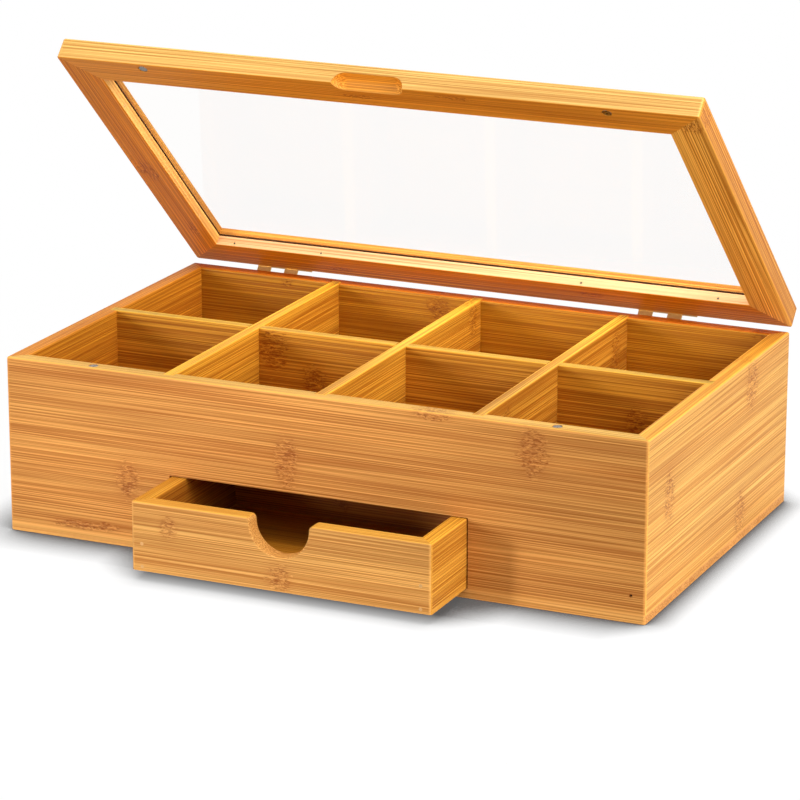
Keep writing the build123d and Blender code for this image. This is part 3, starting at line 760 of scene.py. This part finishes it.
def disc_shape(tree, sizes):
    """A flat disc with a softened rim: a magnet, or a plug of filler."""
    radius, soft, length = sizes["Head radius"], sizes["Head depth"], sizes["Length"]
    rim = add(tree, "ShaderNodeMath", {0: radius, 1: soft}, operation="SUBTRACT")
    rest = add(tree, "ShaderNodeMath", {0: length, 1: soft}, operation="SUBTRACT")
    return [round_part(tree, DISC_SIDES, rim, radius, soft, soft),
            round_part(tree, DISC_SIDES, radius, radius, rest, length)]


def set_fasteners(name, places, tree, body, slot, replaced, material, sink, **sizes):
    """Puts a fastener on each place, sunk below the surface, as one piece that rides on a
    body. The sizes are the tree's inputs."""
    turn = SHUT_LID.inverted() if body == "lid" else Matrix.Identity(4)
    mesh = bpy.data.meshes.new(name)
    mesh.from_pydata([turn @ (place - facing * sink) for place, facing in places], [], [])
    directions = mesh.attributes.new("facing", "FLOAT_VECTOR", "POINT")
    for item, (_, facing) in zip(directions.data, places):
        item.vector = turn.to_3x3() @ facing
    piece = bpy.data.objects.new(name, mesh)
    bpy.context.scene.collection.objects.link(piece)
    modifier = piece.modifiers.new("fasteners", "NODES")
    modifier.node_group = tree
    sizes["material"] = material
    for socket in tree.interface.items_tree:
        size = socket.name.lower().replace(" ", "_")
        if socket.in_out == "INPUT" and size in sizes:
            modifier[socket.identifier] = sizes[size]
    evaluated = piece.evaluated_get(bpy.context.evaluated_depsgraph_get())
    finished = bpy.data.meshes.new_from_object(evaluated)
    piece.modifiers.remove(modifier)
    piece.data = finished
    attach(piece, body)
    if replaced:
        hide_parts(replaced)


class TEABOX_OT_screws(bpy.types.Operator):
    """Make the hinge screws"""
    bl_idname = "tea_box.screws"
    bl_label = "Hinge screws"

    def execute(self, context):
        colour = context.scene.tea_box_hardware.brass
        brass = metal("machined_brass", colour, 0.28, 0.5 * MM, 0.08)
        tree = fastener_tree("slotted_screws", screw_shape)
        for body in ("case", "lid"):
            node = f"{body}_hinge_screws"
            set_fasteners(f"slotted_{body}_screws", seats(node), tree, body, "brass", node,
                          brass, 0.03 * MM, head_radius=1.75 * MM, shank_radius=0.88 * MM,
                          length=6.95 * MM, head_depth=0.88 * MM)
        return {"FINISHED"}


class TEABOX_OT_brads(bpy.types.Operator):
    """Make the brads, and the filler over their heads"""
    bl_idname = "tea_box.brads"
    bl_label = "Brads"

    def execute(self, context):
        settings = context.scene.tea_box_hardware
        steel = metal("drawn_steel_wire", settings.steel, 0.45, 0.5 * MM, 0.1)
        filler = wood_filler(settings.filler)
        brads = fastener_tree("wire_brads", brad_shape)
        plugs = fastener_tree("filler_plugs", disc_shape)
        wire, head_depth, plug = 0.58 * MM, 0.3 * MM, 0.93 * MM

        # The back bead's heads show as dark dots in a ring of filler. The others are filled over
        beads = seats("bead_brads")
        shown = [seat for seat in beads if seat[1].y < -0.5]
        covered = [seat for seat in beads if seat[1].y > -0.5]
        set_fasteners("bead_nails", beads, brads, "lid", "steel", "bead_brads", steel,
                      0.03 * MM, length=12.9 * MM, head_radius=0.5 * MM, shank_radius=wire,
                      head_depth=head_depth)
        set_fasteners("bead_filler", shown, plugs, "lid", "bamboo", None, filler, 0.06 * MM,
                      head_radius=plug, head_depth=0.05 * MM, length=0.3 * MM)
        set_fasteners("bead_filler_flush", covered, plugs, "lid", "bamboo", None, filler,
                      0.01 * MM, head_radius=plug, head_depth=0.02 * MM, length=0.3 * MM)

        drawer = seats("drawer_brads")
        set_fasteners("drawer_nails", drawer, brads, "drawer", "steel", "drawer_brads", steel,
                      0.3 * MM, length=17.6 * MM, head_radius=0.8 * MM, shank_radius=wire,
                      head_depth=0.2 * MM)
        set_fasteners("drawer_filler", drawer, plugs, "drawer", "bamboo", None, filler,
                      0.02 * MM, head_radius=plug, head_depth=0.04 * MM, length=0.25 * MM)
        set_fasteners("corner_nail", seats("corner_brad"), brads, "case", "steel",
                      "corner_brad", steel, 1.4 * MM, length=20.5 * MM, head_radius=0.6 * MM,
                      shank_radius=wire, head_depth=head_depth)
        return {"FINISHED"}


class TEABOX_OT_magnets(bpy.types.Operator):
    """Make the magnets in the rim and the lid"""
    bl_idname = "tea_box.magnets"
    bl_label = "Magnets"

    def execute(self, context):
        colour = context.scene.tea_box_hardware.nickel
        nickel = metal("nickel_plate", colour, 0.3, 1.2 * MM, 0.1)
        tree = fastener_tree("disc_magnets", disc_shape)
        for body, outward in (("case", Z), ("lid", -Z)):
            node = f"{body}_magnets"
            set_fasteners(f"disc_{node}", seats(node, outward), tree, body, "nickel", node,
                          nickel, 0.15 * MM, head_radius=2.48 * MM, head_depth=0.3 * MM,
                          length=1.8 * MM)
        return {"FINISHED"}


# ---- Stage ------------------------------------------------------------------------------

def looked_at(tree):
    """1 for a ray that looks at a surface, straight or by gloss or glass, and 0 for others."""
    path = add(tree, "ShaderNodeLightPath").outputs
    looks = path["Is Camera Ray"]
    for ray in ("Is Glossy Ray", "Is Transmission Ray"):
        looks = add(tree, "ShaderNodeMath", {0: looks, 1: path[ray]}, operation="MAXIMUM")
    return looks


def studio_floor(settings):
    """Pale matt paper. What looks at it sees it white a little way from the object, and near
    the object it keeps the shadow, which is deepest where the two touch."""
    material, tree = new_material("matt_paper_sweep")
    paper = add(tree, "ShaderNodeBsdfDiffuse", {"Color": opaque(settings.floor)})
    place = add(tree, "ShaderNodeTexCoord").outputs
    x, y, _ = add(tree, "ShaderNodeSeparateXYZ", {0: place["Object"]}).outputs
    # The lamp on the right fills the shadow in on that side
    reach = add(tree, "ShaderNodeMapRange", {"Value": x, "From Min": 160 * MM,
                                             "From Max": 178 * MM, "To Min": 31 * MM,
                                             "To Max": 15 * MM})
    # and some light gets in under the drawer
    under = add(tree, "ShaderNodeMapRange", {"Value": y, "From Min": -132 * MM,
                                             "From Max": -150 * MM})
    reach = add(tree, "ShaderNodeMix", {"Factor": under, "A": reach, "B": 13 * MM})
    least = add(tree, "ShaderNodeMapRange", {"Value": under, "To Min": 0.07, "To Max": 0.6})
    contact = add(tree, "ShaderNodeAmbientOcclusion", {"Distance": reach}, samples=8)
    shade = add(tree, "ShaderNodeMapRange", {"Value": contact.outputs["AO"],
                                             "From Min": 0.5, "To Min": least, "To Max": 0.94})
    soft = add(tree, "ShaderNodeEmission", {"Color": (1, 1, 1, 1), "Strength": shade})
    cast = add(tree, "ShaderNodeBsdfDiffuse", {"Color": (0.06, 0.06, 0.06, 1)})
    near = add(tree, "ShaderNodeAddShader", {0: soft, 1: cast})
    far = add(tree, "ShaderNodeEmission", {"Color": (1, 1, 1, 1), "Strength": 1.0})
    away = add(tree, "ShaderNodeVectorMath", {0: place["Object"]}, operation="LENGTH")
    away = add(tree, "ShaderNodeMapRange", {"Value": away, "From Min": 0.25, "From Max": 0.55},
               interpolation_type="SMOOTHSTEP")
    seen = add(tree, "ShaderNodeMixShader", {"Fac": away, 1: near, 2: far})
    mix = add(tree, "ShaderNodeMixShader", {"Fac": looked_at(tree), 1: paper, 2: seen})
    add(tree, "ShaderNodeOutputMaterial", {"Surface": mix})
    return material


def studio_sky(strength):
    """Even light from all round, seen as white."""
    world = bpy.data.worlds.new("studio")
    world.use_nodes = True
    tree = world.node_tree
    tree.nodes.clear()
    glow = add(tree, "ShaderNodeMapRange", {"Value": looked_at(tree), "To Min": strength,
                                            "To Max": 1.0})
    sky = add(tree, "ShaderNodeBackground", {"Color": (1, 1, 1, 1), "Strength": glow})
    add(tree, "ShaderNodeOutputWorld", {"Surface": sky})
    return world


# Square soft boxes: place, what each is turned towards, size, power in watts, and its beam's
# width in degrees. The low narrow one makes the drawer shade the wall to its right
MIDDLE = (0, 0, 0.08)
LAMPS = {
    "overhead": ((0.2, -0.1, 1.5), MIDDLE, 1.3, 18.5, 180),
    "right_side": ((1.45, -0.35, 0.65), MIDDLE, 0.8, 21.5, 180),
    "front": ((-0.62, -1.0, 0.22), (-0.10, -0.1, 0.06), 0.4, 0.34, 20),
}
FLOOR_REACH = 6.0


class TEABOX_OT_stage(bpy.types.Operator):
    """Set the floor, the lamps and the camera"""
    bl_idname = "tea_box.stage"
    bl_label = "Stage"

    def execute(self, context):
        settings = context.scene.tea_box_stage
        scene = context.scene
        corners = [(x * FLOOR_REACH, y * FLOOR_REACH, 0)
                   for x, y in ((-1, -1), (1, -1), (1, 1), (-1, 1))]
        mesh = bpy.data.meshes.new("floor")
        mesh.from_pydata(corners, [], [(0, 1, 2, 3)])
        mesh.materials.append(studio_floor(settings))
        floor = bpy.data.objects.new("floor", mesh)
        scene.collection.objects.link(floor)
        scene.world = studio_sky(settings.sky)

        for name, (place, aim, size, power, beam) in LAMPS.items():
            light = bpy.data.lights.new(name, "AREA")
            light.shape = "SQUARE"
            light.size = size
            light.energy = power
            light.spread = math.radians(beam)
            lamp = bpy.data.objects.new(name, light)
            lamp.location = place
            direction = Vector(aim) - Vector(place)
            lamp.rotation_euler = direction.to_track_quat("-Z", "Y").to_euler()
            scene.collection.objects.link(lamp)

        azimuth, elevation = settings.azimuth, settings.elevation
        back = Vector((math.sin(azimuth) * math.cos(elevation),
                       -math.cos(azimuth) * math.cos(elevation), math.sin(elevation)))
        right = Vector((math.cos(azimuth), math.sin(azimuth), 0))
        lens = bpy.data.cameras.new("camera")
        lens.lens = settings.lens
        lens.clip_end = 100
        camera = bpy.data.objects.new("camera", lens)
        turn = Matrix((right, back.cross(right), back)).transposed()
        turn = turn @ Matrix.Rotation(settings.roll, 3, "Z")
        place = Matrix.Translation(Vector(settings.aim) + back * settings.distance)
        camera.matrix_world = place @ turn.to_4x4()
        scene.collection.objects.link(camera)
        scene.camera = camera
        scene.view_settings.view_transform = "Standard"
        return {"FINISHED"}


# ---- Panel and registration -------------------------------------------------------------

STEPS = (TEABOX_OT_stage, TEABOX_OT_bamboo, TEABOX_OT_case, TEABOX_OT_tray, TEABOX_OT_lid,
         TEABOX_OT_drawer, TEABOX_OT_window, TEABOX_OT_hinges, TEABOX_OT_screws,
         TEABOX_OT_brads, TEABOX_OT_magnets)
SETTINGS = {"tea_box_bamboo": BambooSettings, "tea_box_hardware": HardwareSettings,
            "tea_box_window": WindowSettings, "tea_box_stage": StageSettings}


class TEABOX_PT_panel(bpy.types.Panel):
    """Lists the tea box's pieces and their settings"""
    bl_idname = "TEABOX_PT_panel"
    bl_label = "Tea box"
    bl_space_type = "VIEW_3D"
    bl_region_type = "UI"
    bl_category = "Tea Box"

    def draw(self, context):
        for step in STEPS:
            self.layout.operator(step.bl_idname)
        for name in SETTINGS:
            group = getattr(context.scene, name)
            box = self.layout.box()
            for setting in group.bl_rna.properties:
                if setting.identifier not in ("rna_type", "name"):
                    box.prop(group, setting.identifier)


def register():
    for kind in (*SETTINGS.values(), *STEPS, TEABOX_PT_panel):
        bpy.utils.register_class(kind)
    for name, kind in SETTINGS.items():
        setattr(bpy.types.Scene, name, bpy.props.PointerProperty(type=kind))


def unregister():
    for name in SETTINGS:
        delattr(bpy.types.Scene, name)
    for kind in (TEABOX_PT_panel, *STEPS, *SETTINGS.values()):
        bpy.utils.unregister_class(kind)


def main():
    register()
    for step in STEPS:
        _, name = step.bl_idname.split(".")
        getattr(bpy.ops.tea_box, name)()


if __name__ == "__main__":
    main()
